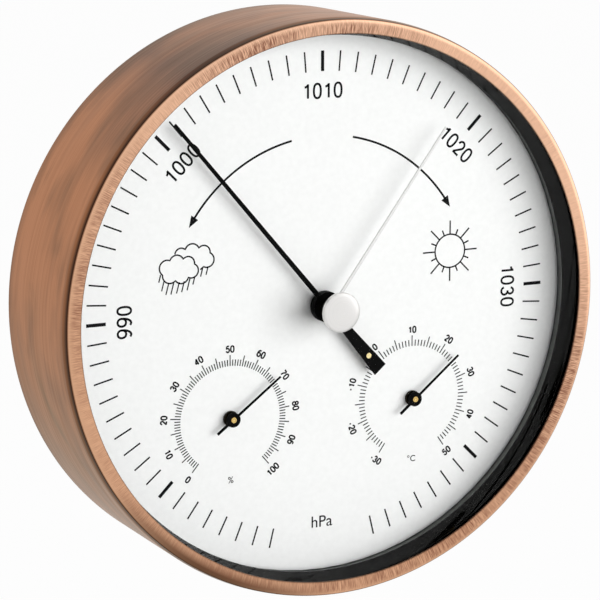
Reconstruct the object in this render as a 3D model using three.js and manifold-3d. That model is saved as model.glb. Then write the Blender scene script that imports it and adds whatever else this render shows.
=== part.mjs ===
// Wall-hung weather station: a drawn copper case with a glazed dial, a pressure pointer driven by an
// aneroid capsule through a rocking shaft, a toothed sector and a pinion, a set pointer turned by a knob
// on the glass, and two small coil gauges for humidity and temperature.
// Millimetres, +Z up. The back lies on the wall plane y = 0 and the dial faces -Y, so a depth is the
// distance in front of the wall. Front-view places are given as x to the right and z up.

import * as THREE from 'three';
import { mergeVertices } from 'three/addons/utils/BufferGeometryUtils.js';
import Module from 'manifold-3d';

const wasm = await Module();
wasm.setup();

// Clearances
const seatGap = 0.3; // between pieces that rest on one another
const fitGap = 0.15; // round a shaft that is pressed into a piece
const runGap = 0.3; // round a shaft that turns in a bearing
const cutThrough = 1; // how far a cut reaches past the face it opens

// Case
const caseRadius = 66;
const shellThickness = 0.8;
const lipWidth = 3.6; // how far the front edge turns in over the glass
const lipCrown = 0.5; // how far the lip stands ahead of its outer corner
const lipEdgeBreak = 0.2; // fall of the lip at its inner edge
const cornerRadius = 1.6;
const rearEdgeSetback = 0.4; // rolled rear edge to the wall plane
const rearRollWidth = 2.2; // how far the rear edge is rolled in

// Rear cover
const coverFlange = 1.5;
const bossRadius = 3.6;
const bossHeight = 2.2;
const keyholeHeight = 44; // centre of the round entry above the case axis
const keyholeEntryRadius = 4.6;
const keyholeSlotWidth = 4.8;
const keyholeSlotLength = 7;
const regulatorHoleRadius = 3.6;
const ventCount = 5;
const ventWidth = 2;
const ventHeight = 16;
const ventPitch = 7;
const ventDrop = 40; // middle of the vents below the case axis

// Glass, spacer, dial and its carrier
const glassThickness = 2;
const dialRecess = 9.9; // front of the lip to the face of the dial
const dialThickness = 0.6;
const carrierRim = 1.8; // height of the carrier's rim over the dial
const carrierLedge = 5.4; // width of the ledge that the dial lies on
const carrierWall = 1.5;
const dialCentreHole = 2.5;

// Movement frame
const plateThickness = 1;
const bridgeThickness = 1;
const bridgeToDial = 3;
const frameLeft = -26;
const frameRight = 36;
const frameTop = 36;
const frameBottom = -6;
const frameMargin = 4; // plate edge beyond a pillar's centre
const pillarRadius = 2.5;

// Slotted screws
const screwShank = 1.3;
const screwHeadRadius = 2.7;
const screwHeadHeight = 1.6;
const screwReach = 3; // how far a screw enters a pillar
const screwRecess = 0.4; // rear heads lie this far inside the cover's back
const slotWidth = 0.8;
const slotDepth = 0.7;

// Aneroid capsule and its regulating screw
const capsuleX = 15;
const capsuleRadius = 18;
const capsuleLift = 1.4; // movement plate to the underside of the capsule
const diaphragmThickness = 0.5;
const diaphragmRise = 1.7; // middle of a half to its rim
const diaphragmFlat = 1; // flat round the stud's base, and again at the rim
const corrugation = 0.3;
const corrugationCount = 5;
const rimGap = 0.7; // leaves room for the upper half to sink
const skirtThickness = 0.5;
const skirtHeight = 0.9;
const studBaseRadius = 2.4;
const studBaseHeight = 0.4;
const studRadius = 0.55;
const studLength = 1;
const regulatorHeadRadius = 3;
const regulatorHeadHeight = 1.6;
const regulatorShank = 2;

// Rocking shaft
const rockerRadius = 0.8;
const capsuleLever = 1.6; // shaft axis to the stud
const leverWidth = 3;
const leverThickness = 1;
const leverOverhang = 1.2;
const armReach = 4.4; // shaft axis to the middle of the sector's pin
const armOver = 0.5;
const armWidth = 1.5;
const armThickness = 1.4;
const armCollarRadius = 2.1;
const lugThickness = 1.2;
const lugHalfWidth = 2;
const lugOver = 2; // lug above the shaft axis
const lugLeft = -7.5;
const lugBeyondPillar = 0.5;
const lugRight = frameRight + lugBeyondPillar;
const shaftOverhang = 1.2; // shaft beyond an arm or lug

// Toothed sector and pinion
const gearModule = 0.4;
const pinionTeeth = 10;
const sectorTeeth = 90; // if it were a whole wheel
const teethBelow = 7;
const teethAbove = 5;
const addendum = 0.35;
const dedendum = 0.6;
const toothWidth = 0.38; // on the pitch circle, with plenty of backlash
const tipWidth = 0.18;
const sectorThickness = 1;
const sectorHubRadius = 3.9;
const sectorFlare = 60; // degrees round the hub from an end tooth to the hub's outline
const tailOffset = 3; // sector axis to its pin
const tailPinRadius = 0.5;
const tailPinLength = 1.4;
const sectorClearance = 0.5;
const sectorDirection = 135; // degrees from +X, arbor to sector axis
const pinionOver = 0.3; // pinion wider than the sector on each side
const arborRadius = 0.8;

// Hairspring
const hairspringInner = 1.5;
const hairspringOuter = 6;
const hairspringTurns = 5;
const hairspringStrip = 0.22;
const hairspringHeight = 0.8;
const hairspringStandoff = 0.7;
const hairspringCollet = 1.2;
const springPostRadius = 0.6; // post on the bridge that holds the spring's outer end

// Pressure pointer
const pointerTop = 2.8; // top of the pointer over the dial
const pointerThickness = 0.4;
const pointerAngle = -40.5; // clockwise from the top, at rest
const pointerLength = 57.4;
const pointerTipWidth = 0.8;
const pointerRootWidth = 1.2;
const pointerDisc = 4.3;
const tailLength = 20.7;
const tailRootWidth = 2;
const tailEndWidth = 3.5;
const rivetRadius = 0.65;
const rivetPlace = 16.1; // pointer axis to the rivet in the tail
const rivetProud = 0.15;
const bushRadius = 3.7;
const bushLift = 0.6;

// Set pointer and its knob
const setPointerLift = 4.4; // back of the set pointer over the dial
const setPointerThickness = 0.3;
const setPointerAngle = 36.3;
const setPointerLength = 49;
const setPointerWidth = 0.8;
const setPointerTip = 0.5;
const setPointerDisc = 2.2;
const spindleRadius = 1.2;
const spindleHead = 1.7;
const spindleHeadHeight = 0.3;
const washerThickness = 0.3;
const washerWidth = 1.8;
const knobRadius = 4.55;
const knobEdge = 1.2; // straight part of the knob's side
const knobDome = 0.8;
const knobFloor = 0.5; // knob over the end of the spindle

// Coil gauges: humidity on the left, temperature on the right
const gaugeX = 23.15;
const gaugeZ = -24;
const gaugePlateRadius = 9.2;
const gaugePlateThickness = 1;
const gaugeBushRadius = 1.5;
const gaugeBushFlange = 2;
const gaugeBushFlangeHeight = 0.4;
const gaugeBushTail = 1.5; // bush behind its plate
const gaugeArborRadius = 0.68;
const gaugeColletRadius = 1.5;
const coilOuter = 7.2;
const coilTurns = 4;
const coilStrip = 0.35;
const coilHeight = 4;
const coilToBush = 0.6;
const coilPostRadius = 0.6;
const gaugePointerLift = 1.5; // back of the pointer over the dial
const gaugePointerThickness = 0.4;
const gaugePointerLength = 14.7;
const gaugePointerTail = 4.9;
const gaugePointerWidth = 0.5;
const gaugePointerDisc = 1.85;
const gaugePinProud = 0.2;
const humidityAngle = 53.1;
const temperatureAngle = 50.5;

// Facets
const ringSides = 72;
const capsuleSides = 24;
const smallSides = 16;
const spiralSteps = 14; // in one turn
const arcSteps = 6;

// Depths, from the wall forwards
const rollFront = rearEdgeSetback + shellThickness;
const flangeBack = rollFront + seatGap;
const coverFront = flangeBack + coverFlange;
const plateBack = coverFront + bossHeight + seatGap;
const plateFront = plateBack + plateThickness;
const capsuleBack = plateFront + capsuleLift;
const lowerRimBack = capsuleBack + diaphragmRise;
const upperRimBack = lowerRimBack + diaphragmThickness + rimGap;
const capsuleFront = upperRimBack + diaphragmThickness + diaphragmRise;
const studBack = capsuleFront + seatGap;
const studFront = studBack + studLength;
const leverBack = studFront + seatGap;
const rockerDepth = leverBack + leverThickness / 2;
const armTip = rockerDepth + armReach + armOver;
const sectorBack = armTip + sectorClearance;
const sectorFront = sectorBack + sectorThickness;
const bridgeBack = sectorFront + pinionOver + seatGap;
const bridgeFront = bridgeBack + bridgeThickness;
const dialBack = bridgeFront + bridgeToDial;
const dialFace = dialBack + dialThickness;
const caseDepth = dialFace + dialRecess;
const lipBack = caseDepth - shellThickness;
const glassFront = lipBack - seatGap;
const glassBack = glassFront - glassThickness;
const carrierFront = dialFace + carrierRim;
const ledgeFront = dialBack - seatGap;
const pointerFront = dialFace + pointerTop;
const pointerBack = pointerFront - pointerThickness;
const setPointerBack = dialFace + setPointerLift;
const setPointerFront = setPointerBack + setPointerThickness;
const knobBack = glassFront + seatGap;
const knobFront = knobBack + knobEdge + knobDome;
const gaugePlateFront = dialBack - seatGap;
const gaugePlateBack = gaugePlateFront - gaugePlateThickness;
const gaugeBushBack = gaugePlateBack - gaugeBushTail;
const coilFront = gaugeBushBack - coilToBush;
const coilBack = coilFront - coilHeight;
const gaugePointerBack = dialFace + gaugePointerLift;
const gaugePointerFront = gaugePointerBack + gaugePointerThickness;

// Radii and places that several pieces share
const shellInner = caseRadius - shellThickness;
const openingRadius = caseRadius - lipWidth;
const nestRadius = shellInner - seatGap; // everything that lies inside the shell
const pinionPitch = (gearModule * pinionTeeth) / 2;
const sectorPitch = (gearModule * sectorTeeth) / 2;
const sectorBearing = THREE.MathUtils.degToRad(sectorDirection);
const sectorX = (pinionPitch + sectorPitch) * Math.cos(sectorBearing);
const sectorZ = (pinionPitch + sectorPitch) * Math.sin(sectorBearing);
const capsuleZ = sectorZ + capsuleLever;
const framePillars = [[frameLeft, frameTop], [frameLeft, frameBottom], [frameRight, frameBottom]];
const springPostPlace = hairspringOuter + seatGap + springPostRadius;

// Finishes
const copper = { color: 0xb5744f, roughness: 0.38, metalness: 1 };
const clear = { color: 0xf4f8f8, roughness: 0.03, metalness: 0, transparent: true, opacity: 0.25 };
const glossBlack = { color: 0x111111, roughness: 0.15, metalness: 0 };
const satinBlack = { color: 0x151514, roughness: 0.45, metalness: 0 };
const dialWhite = { color: 0xf6f6f3, roughness: 0.55, metalness: 0 };
const carrierWhite = { color: 0xd9dbd8, roughness: 0.5, metalness: 0 };
const brass = { color: 0xc9a552, roughness: 0.3, metalness: 1 };
const steel = { color: 0xa9acb0, roughness: 0.35, metalness: 1 };
const bronze = { color: 0xc08a55, roughness: 0.35, metalness: 1 };
const silver = { color: 0xe6e6e4, roughness: 0.25, metalness: 1 };

// Merges shared corners, drops empty triangles at the axis and turns all faces outwards.
function closed(geometry) {
  geometry.deleteAttribute('normal');
  geometry.deleteAttribute('uv');
  const merged = mergeVertices(geometry, 1e-4);
  const place = merged.attributes.position;
  const corners = [new THREE.Vector3(), new THREE.Vector3(), new THREE.Vector3()];
  const triangles = [];
  let volume = 0;
  for (let i = 0; i < merged.index.count; i += 3) {
    const trio = [0, 1, 2].map((k) => merged.index.getX(i + k));
    if (new Set(trio).size === 3) {
      trio.forEach((vertex, k) => corners[k].fromBufferAttribute(place, vertex));
      volume += corners[0].dot(corners[1].clone().cross(corners[2]));
      triangles.push(trio);
    }
  }
  if (volume < 0) {
    triangles.forEach((trio) => trio.reverse());
  }
  merged.setIndex(triangles.flat());
  return merged;
}

function toSolid(geometry) {
  const vertProperties = new Float32Array(geometry.attributes.position.array);
  const triVerts = new Uint32Array(geometry.index.array);
  return new wasm.Manifold(new wasm.Mesh({ numProp: 3, vertProperties, triVerts }));
}

function fromSolid(solid) {
  const { vertProperties, triVerts } = solid.getMesh();
  const geometry = new THREE.BufferGeometry();
  geometry.setAttribute('position', new THREE.BufferAttribute(new Float32Array(vertProperties), 3));
  geometry.setIndex(new THREE.BufferAttribute(new Uint32Array(triVerts), 1));
  return geometry;
}

function joined(first, ...others) {
  return fromSolid(others.reduce((solid, other) => solid.add(toSolid(other)), toSolid(first)));
}

function cutBy(first, ...others) {
  return fromSolid(others.reduce((solid, other) => solid.subtract(toSolid(other)), toSolid(first)));
}

// A turned piece round the case axis, from [radius, depth] pairs that start and end on the axis.
function turned(profile, sides = ringSides) {
  const points = profile.map(([radius, depth]) => new THREE.Vector2(radius, -depth));
  return closed(new THREE.LatheGeometry(points, sides));
}

// A turned ring, whose profile closes on itself.
function turnedRing(profile, sides = ringSides) {
  return turned([...profile, profile[0]], sides);
}

// A flat piece cut from sheet: its outline in front view, between two depths.
function plate(outline, back, front) {
  const slab = new THREE.ExtrudeGeometry(outline, { depth: front - back, bevelEnabled: false });
  slab.translate(0, 0, back);
  slab.rotateX(Math.PI / 2);
  return closed(slab);
}

function rod(x, z, radius, back, front, sides = smallSides) {
  const cylinder = new THREE.CylinderGeometry(radius, radius, front - back, sides);
  cylinder.translate(x, -(back + front) / 2, z);
  return closed(cylinder);
}

function block(left, right, bottom, top, back, front) {
  const box = new THREE.BoxGeometry(right - left, front - back, top - bottom);
  box.translate((left + right) / 2, -(back + front) / 2, (bottom + top) / 2);
  return closed(box);
}

// A rod along X at a given height and depth.
function crossRod(left, right, z, depth, radius) {
  const cylinder = new THREE.CylinderGeometry(radius, radius, right - left, smallSides);
  cylinder.rotateZ(Math.PI / 2);
  cylinder.translate((left + right) / 2, -depth, z);
  return closed(cylinder);
}

function polar(radius, angle) {
  return new THREE.Vector2(radius * Math.cos(angle), radius * Math.sin(angle));
}

function outlineOf(points) {
  return new THREE.Shape(points);
}

function roundHole(x, z, radius) {
  const points = [];
  for (let i = 0; i < smallSides; i += 1) {
    points.push(polar(radius, (-2 * Math.PI * i) / smallSides).add(new THREE.Vector2(x, z)));
  }
  return new THREE.Path(points);
}

// The outline round a set of equal discs, given anticlockwise.
function hullOutline(centres, radius) {
  const points = [];
  centres.forEach(([x, z], i) => {
    const [lastX, lastZ] = centres[(i + centres.length - 1) % centres.length];
    const [nextX, nextZ] = centres[(i + 1) % centres.length];
    const from = Math.atan2(z - lastZ, x - lastX) - Math.PI / 2;
    let turn = Math.atan2(nextZ - z, nextX - x) - Math.PI / 2 - from;
    while (turn < 0) {
      turn += 2 * Math.PI;
    }
    for (let k = 0; k <= arcSteps; k += 1) {
      points.push(polar(radius, from + (turn * k) / arcSteps).add(new THREE.Vector2(x, z)));
    }
  });
  return outlineOf(points);
}

// A spiral strip of even pitch round the case axis.
function spiralStrip(inner, outer, turns, strip, back, front) {
  const steps = turns * spiralSteps;
  const inside = [];
  const outside = [];
  for (let i = 0; i <= steps; i += 1) {
    const angle = (2 * Math.PI * i) / spiralSteps;
    const radius = inner + ((outer - strip - inner) * i) / steps;
    inside.push(polar(radius, angle));
    outside.push(polar(radius + strip, angle));
  }
  return plate(outlineOf([...outside, ...inside.reverse()]), back, front);
}

// One gear tooth about a radial line: root, flank and tip, anticlockwise for a ccw gear outline.
function tooth(pitch, angle) {
  const root = pitch - dedendum;
  const tip = pitch + addendum;
  const steps = [[root, toothWidth], [pitch, toothWidth], [tip, tipWidth]];
  const rising = steps.map(([radius, width]) => polar(radius, angle - width / 2 / radius));
  const falling = steps.map(([radius, width]) => polar(radius, angle + width / 2 / radius)).reverse();
  return [...rising, ...falling];
}

// A long pointer: a tapered blade, a disc at its axis and a tail, pointing straight up.
function pointerOutline(tip, endWidth, rootWidth, disc, tail, tailRoot, tailEnd) {
  const bladeFoot = Math.asin(rootWidth / 2 / disc);
  const tailFoot = Math.asin(tailRoot / 2 / disc);
  const points = [new THREE.Vector2(-endWidth / 2, tip)];
  const sweep = Math.PI - bladeFoot - tailFoot;
  for (let k = 0; k <= arcSteps; k += 1) {
    points.push(polar(disc, Math.PI / 2 + bladeFoot + (sweep * k) / arcSteps));
  }
  points.push(new THREE.Vector2(-tailEnd / 2, -tail));
  points.push(new THREE.Vector2(tailEnd / 2, -tail));
  for (let k = 0; k <= arcSteps; k += 1) {
    points.push(polar(disc, -Math.PI / 2 + tailFoot + (sweep * k) / arcSteps));
  }
  points.push(new THREE.Vector2(endWidth / 2, tip));
  return outlineOf(points);
}

function piece(name, geometry, finish) {
  const mesh = new THREE.Mesh(geometry, new THREE.MeshStandardMaterial(finish));
  mesh.name = name;
  return mesh;
}

// A slotted cheese-head screw on its own axis; the head faces back or front.
function screwGeometry(headDepth, shankEnd) {
  const towards = Math.sign(shankEnd - headDepth);
  const underHead = headDepth + towards * screwHeadHeight;
  const body = turned([
    [0, headDepth], [screwHeadRadius, headDepth], [screwHeadRadius, underHead],
    [screwShank, underHead], [screwShank, shankEnd], [0, shankEnd],
  ], smallSides);
  const slotEnds = [headDepth - towards * cutThrough, headDepth + towards * slotDepth];
  slotEnds.sort((a, b) => a - b);
  const reach = screwHeadRadius * 2;
  return cutBy(body, block(-reach, reach, -slotWidth / 2, slotWidth / 2, ...slotEnds));
}

function caseShell() {
  const cornerFront = caseDepth - lipCrown;
  const outerArc = [];
  for (let k = 0; k <= arcSteps; k += 1) {
    const angle = (Math.PI / 2) * (k / arcSteps);
    outerArc.push([
      caseRadius - cornerRadius + cornerRadius * Math.cos(angle),
      cornerFront - cornerRadius + cornerRadius * Math.sin(angle),
    ]);
  }
  const innerCorner = cornerRadius - shellThickness;
  return turnedRing([
    [caseRadius - rearRollWidth, rearEdgeSetback], [caseRadius - shellThickness, rearEdgeSetback],
    [caseRadius, rollFront], ...outerArc,
    [openingRadius + shellThickness, caseDepth], [openingRadius, caseDepth - lipEdgeBreak],
    [openingRadius, lipBack], [shellInner - innerCorner, lipBack], [shellInner, lipBack - innerCorner],
    [shellInner, rollFront], [caseRadius - rearRollWidth, rollFront],
  ]);
}

function glassPane() {
  const hole = spindleRadius + runGap;
  const radius = nestRadius - (cornerRadius - shellThickness);
  return turnedRing([[hole, glassBack], [radius, glassBack], [radius, glassFront], [hole, glassFront]]);
}

function spacerRing() {
  const back = carrierFront + seatGap;
  const front = glassBack - seatGap;
  return turnedRing([
    [openingRadius, back], [nestRadius, back], [nestRadius, front], [openingRadius, front],
  ]);
}

function dialCarrier() {
  const back = coverFront + seatGap;
  const ledgeBack = ledgeFront - carrierWall;
  const ledgeInner = openingRadius - carrierLedge;
  return turnedRing([
    [nestRadius - carrierWall, back], [nestRadius, back], [nestRadius, carrierFront],
    [openingRadius, carrierFront], [openingRadius, ledgeFront], [ledgeInner, ledgeFront],
    [ledgeInner, ledgeBack], [nestRadius - carrierWall, ledgeBack],
  ]);
}

function dialPlate() {
  const radius = openingRadius - seatGap;
  const disc = turned([[0, dialBack], [radius, dialBack], [radius, dialFace], [0, dialFace]]);
  const gaugeHole = gaugeBushRadius + seatGap;
  const behind = dialBack - cutThrough;
  const ahead = dialFace + cutThrough;
  return cutBy(
    disc,
    rod(0, 0, dialCentreHole, behind, ahead),
    rod(-gaugeX, gaugeZ, gaugeHole, behind, ahead),
    rod(gaugeX, gaugeZ, gaugeHole, behind, ahead),
  );
}

function rearCover() {
  const bossFront = plateBack - seatGap;
  const behind = -cutThrough;
  const through = bossFront + cutThrough;
  const rim = caseRadius - rearRollWidth - seatGap;
  const disc = turned([
    [0, 0], [rim, 0], [rim, flangeBack], [nestRadius, flangeBack], [nestRadius, coverFront], [0, coverFront],
  ]);
  const bosses = framePillars.map(([x, z]) => rod(x, z, bossRadius, coverFront / 2, bossFront));
  const headSeat = screwRecess + screwHeadHeight + seatGap;
  const cuts = framePillars.flatMap(([x, z]) => [
    rod(x, z, screwShank + seatGap, behind, through),
    rod(x, z, screwHeadRadius + seatGap, behind, headSeat),
  ]);
  cuts.push(rod(capsuleX, capsuleZ, regulatorHoleRadius, behind, through));
  cuts.push(rod(0, keyholeHeight, keyholeEntryRadius, behind, through));
  const slotTop = keyholeHeight + keyholeSlotLength;
  const halfSlot = keyholeSlotWidth / 2;
  cuts.push(block(-halfSlot, halfSlot, keyholeHeight, slotTop, behind, through));
  cuts.push(rod(0, slotTop, halfSlot, behind, through));
  for (let i = 0; i < ventCount; i += 1) {
    const x = (i - (ventCount - 1) / 2) * ventPitch;
    const low = -ventDrop - ventHeight / 2;
    cuts.push(block(x - ventWidth / 2, x + ventWidth / 2, low, low + ventHeight, behind, through));
  }
  return cutBy(joined(disc, ...bosses), ...cuts);
}

function movementPlate() {
  const corners = [
    [frameLeft, frameBottom], [frameRight, frameBottom], [frameRight, frameTop], [frameLeft, frameTop],
  ];
  const outline = hullOutline(corners, frameMargin);
  framePillars.forEach(([x, z]) => outline.holes.push(roundHole(x, z, screwShank + seatGap)));
  outline.holes.push(roundHole(0, 0, arborRadius + runGap));
  outline.holes.push(roundHole(sectorX, sectorZ, arborRadius + runGap));
  outline.holes.push(roundHole(capsuleX, capsuleZ, regulatorShank + runGap));
  const sheet = plate(outline, plateBack, plateFront);
  const lugs = [lugLeft, lugRight].map((x) => block(
    x - lugThickness / 2, x + lugThickness / 2, sectorZ - lugHalfWidth, sectorZ + lugHalfWidth,
    plateFront - plateThickness / 2, rockerDepth + lugOver,
  ));
  const pivot = crossRod(lugLeft - lugThickness, lugRight + lugThickness, sectorZ, rockerDepth,
    rockerRadius + runGap);
  return cutBy(joined(sheet, ...lugs), pivot);
}

function pillar() {
  const back = plateFront + seatGap;
  const front = bridgeBack - seatGap;
  const bore = screwShank + seatGap;
  return turnedRing([[bore, back], [pillarRadius, back], [pillarRadius, front], [bore, front]], smallSides);
}

function bridge() {
  const corners = [framePillars[1], framePillars[2], framePillars[0]];
  const outline = hullOutline(corners, frameMargin);
  framePillars.forEach(([x, z]) => outline.holes.push(roundHole(x, z, screwShank + seatGap)));
  outline.holes.push(roundHole(0, 0, arborRadius + runGap));
  outline.holes.push(roundHole(sectorX, sectorZ, arborRadius + runGap));
  const sheet = plate(outline, bridgeBack, bridgeFront);
  const postBack = bridgeBack + bridgeThickness / 2;
  const postFront = bridgeFront + hairspringStandoff + hairspringHeight;
  return joined(sheet, rod(springPostPlace, 0, springPostRadius, postBack, postFront));
}

// Corrugated diaphragm profile from the middle out to the rim, as [radius, rise] pairs.
function diaphragmWave() {
  const inner = studBaseRadius + diaphragmFlat;
  const points = [[0, 0], [inner, 0]];
  for (let k = 1; k <= corrugationCount; k += 1) {
    const share = k / (corrugationCount + 1);
    const crest = k % 2 === 1 ? corrugation : -corrugation / 2;
    points.push([inner + (capsuleRadius - inner) * share, diaphragmRise * share + crest]);
  }
  points.push([capsuleRadius - diaphragmFlat, diaphragmRise], [capsuleRadius, diaphragmRise]);
  return points;
}

function capsuleLower() {
  const wave = diaphragmWave();
  const outside = wave.map(([radius, rise]) => [radius, capsuleBack + rise]);
  const inside = wave.map(([radius, rise]) => [radius, capsuleBack + rise + diaphragmThickness]).reverse();
  return turned([...outside, ...inside], capsuleSides);
}

function capsuleUpper() {
  const wave = diaphragmWave();
  const inside = wave.map(([radius, rise]) => [radius, capsuleFront - diaphragmThickness - rise]);
  const outside = wave.slice(0, -1).map(([radius, rise]) => [radius, capsuleFront - rise]).reverse();
  const skirtInner = capsuleRadius + seatGap;
  const skirtOuter = skirtInner + skirtThickness;
  const skirtBack = upperRimBack - skirtHeight;
  inside[inside.length - 1] = [skirtInner, upperRimBack];
  const skirtFront = upperRimBack + diaphragmThickness;
  const skirt = [[skirtInner, skirtBack], [skirtOuter, skirtBack], [skirtOuter, skirtFront]];
  return turned([...inside, ...skirt, ...outside], capsuleSides);
}

function capsuleStud() {
  const shoulder = studBack + studBaseHeight;
  return turned([
    [0, studBack], [studBaseRadius, studBack], [studBaseRadius, shoulder],
    [studRadius, shoulder], [studRadius, studFront], [0, studFront],
  ], smallSides);
}

function regulatingScrew() {
  const end = capsuleBack - seatGap;
  const underHead = plateBack - seatGap;
  const headBack = underHead - regulatorHeadHeight;
  const body = turned([
    [0, headBack], [regulatorHeadRadius, headBack], [regulatorHeadRadius, underHead],
    [regulatorShank, underHead], [regulatorShank, end], [0, end],
  ], smallSides);
  const half = slotWidth / 2;
  const reach = regulatorHeadRadius * 2;
  return cutBy(body, block(-reach, reach, -half, half, headBack - cutThrough, headBack + slotDepth));
}

function rockingShaft() {
  const armX = sectorX + tailOffset;
  const armLeft = armX - armWidth / 2;
  const armRight = armX + armWidth / 2;
  const armTop = sectorZ - tailPinRadius - seatGap;
  const shaftRight = lugRight + lugThickness / 2 + shaftOverhang;
  const shaft = crossRod(armLeft, shaftRight, sectorZ, rockerDepth, rockerRadius);
  const collar = crossRod(armLeft, armRight, sectorZ, rockerDepth, armCollarRadius);
  const arm = block(armLeft, armRight, armTop - armThickness, armTop, rockerDepth, armTip);
  const lever = block(
    capsuleX - leverWidth / 2, capsuleX + leverWidth / 2, sectorZ, capsuleZ + leverOverhang,
    leverBack, leverBack + leverThickness,
  );
  return joined(shaft, collar, arm, lever);
}

function sectorGear() {
  const pitchAngle = (2 * Math.PI) / sectorTeeth;
  const middle = sectorBearing + Math.PI;
  const points = [];
  for (let k = -teethBelow; k <= teethAbove; k += 1) {
    points.push(...tooth(sectorPitch, middle + k * pitchAngle));
  }
  const flare = THREE.MathUtils.degToRad(sectorFlare);
  const hubFrom = middle + teethAbove * pitchAngle + flare;
  const hubTo = middle - teethBelow * pitchAngle - flare + 2 * Math.PI;
  for (let k = 0; k <= arcSteps * 2; k += 1) {
    points.push(polar(sectorHubRadius, hubFrom + ((hubTo - hubFrom) * k) / (arcSteps * 2)));
  }
  const outline = outlineOf(points);
  outline.holes.push(roundHole(0, 0, arborRadius + fitGap));
  const sheet = plate(outline, sectorBack, sectorFront);
  const pinFront = sectorBack + sectorThickness / 2;
  return joined(sheet, rod(tailOffset, 0, tailPinRadius, sectorBack - tailPinLength, pinFront));
}

function sectorArbor() {
  return rod(0, 0, arborRadius, plateBack, bridgeFront);
}

// The pointer's arbor, with the pinion cut on it and a collet for the hairspring. The pinion stands half a
// tooth round, so that one of its gaps faces the sector's middle tooth.
function pointerArbor() {
  const points = [];
  for (let k = 0; k < pinionTeeth; k += 1) {
    points.push(...tooth(pinionPitch, sectorBearing + ((k + 0.5) * 2 * Math.PI) / pinionTeeth));
  }
  const pinion = plate(outlineOf(points), sectorBack - pinionOver, sectorFront + pinionOver);
  const springBack = bridgeFront + hairspringStandoff;
  const collet = rod(0, 0, hairspringCollet, springBack, springBack + hairspringHeight);
  return joined(rod(0, 0, arborRadius, plateBack, pointerFront), pinion, collet);
}

function hairspring() {
  const back = bridgeFront + hairspringStandoff;
  return spiralStrip(hairspringInner, hairspringOuter, hairspringTurns, hairspringStrip, back,
    back + hairspringHeight);
}

function pointerBush() {
  const back = dialFace + bushLift;
  const front = pointerBack - seatGap;
  const bore = arborRadius + fitGap;
  return turnedRing([[bore, back], [bushRadius, back], [bushRadius, front], [bore, front]], smallSides * 2);
}

function pressurePointer() {
  const outline = pointerOutline(pointerLength, pointerTipWidth, pointerRootWidth, pointerDisc,
    tailLength, tailRootWidth, tailEndWidth);
  outline.holes.push(roundHole(0, 0, arborRadius + fitGap));
  outline.holes.push(roundHole(0, -rivetPlace, rivetRadius + fitGap));
  return plate(outline, pointerBack, pointerFront);
}

function tailRivet() {
  return rod(0, -rivetPlace, rivetRadius, pointerBack - rivetProud, pointerFront + rivetProud);
}

function setPointer() {
  const outline = pointerOutline(setPointerLength, setPointerTip, setPointerWidth, setPointerDisc,
    setPointerDisc, setPointerWidth, setPointerWidth);
  outline.holes.push(roundHole(0, 0, spindleRadius + fitGap));
  return plate(outline, setPointerBack, setPointerFront);
}

function setSpindle() {
  const headFront = setPointerBack - fitGap;
  const headBack = headFront - spindleHeadHeight;
  const end = knobFront - knobFloor - fitGap;
  return turned([
    [0, headBack], [spindleHead, headBack], [spindleHead, headFront],
    [spindleRadius, headFront], [spindleRadius, end], [0, end],
  ], smallSides);
}

// A dished spring washer that presses the set pointer away from the glass and holds it by friction.
function springWasher() {
  const inner = spindleRadius + runGap;
  const outer = inner + washerWidth;
  const back = setPointerFront + seatGap;
  const front = glassBack - seatGap;
  return turnedRing([
    [inner, back], [outer, front - washerThickness], [outer, front], [inner, back + washerThickness],
  ], smallSides);
}

function setKnob() {
  const bore = spindleRadius + fitGap;
  const boreEnd = knobFront - knobFloor;
  const profile = [[0, boreEnd], [bore, boreEnd], [bore, knobBack], [knobRadius, knobBack]];
  for (let k = 0; k <= arcSteps; k += 1) {
    const angle = (Math.PI / 2) * (k / arcSteps);
    profile.push([knobRadius * Math.cos(angle), knobBack + knobEdge + knobDome * Math.sin(angle)]);
  }
  return turned(profile, smallSides * 2);
}

function gaugePlate() {
  const disc = turnedRing([
    [gaugeBushRadius + seatGap, gaugePlateBack], [gaugePlateRadius, gaugePlateBack],
    [gaugePlateRadius, gaugePlateFront], [gaugeBushRadius + seatGap, gaugePlateFront],
  ], capsuleSides);
  const post = coilOuter + seatGap + coilPostRadius;
  return joined(disc, rod(post, 0, coilPostRadius, coilBack, gaugePlateBack + gaugePlateThickness / 2));
}

function gaugeBush() {
  const bore = gaugeArborRadius + runGap;
  const collarBack = dialFace + seatGap;
  const front = collarBack + gaugeBushFlangeHeight;
  return turnedRing([
    [bore, gaugeBushBack], [gaugeBushRadius, gaugeBushBack], [gaugeBushRadius, collarBack],
    [gaugeBushFlange, collarBack], [gaugeBushFlange, front], [bore, front],
  ], smallSides);
}

function gaugeCoil() {
  return spiralStrip(gaugeColletRadius + seatGap, coilOuter, coilTurns, coilStrip, coilBack, coilFront);
}

function gaugeArbor() {
  const end = gaugePointerFront + gaugePinProud;
  return turned([
    [0, coilBack], [gaugeColletRadius, coilBack], [gaugeColletRadius, coilFront],
    [gaugeArborRadius, coilFront], [gaugeArborRadius, end], [0, end],
  ], smallSides);
}

function gaugePointer() {
  const outline = pointerOutline(gaugePointerLength, gaugePointerWidth, gaugePointerWidth, gaugePointerDisc,
    gaugePointerTail, gaugePointerWidth, gaugePointerWidth);
  outline.holes.push(roundHole(0, 0, gaugeArborRadius + fitGap));
  return plate(outline, gaugePointerBack, gaugePointerFront);
}

// A group at a front-view place, turned clockwise by an angle in degrees as seen from the front.
function groupAt(x, z, clockwise, ...pieces) {
  const group = new THREE.Group();
  group.position.set(x, 0, z);
  group.rotation.y = THREE.MathUtils.degToRad(clockwise);
  group.add(...pieces);
  return group;
}

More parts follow.
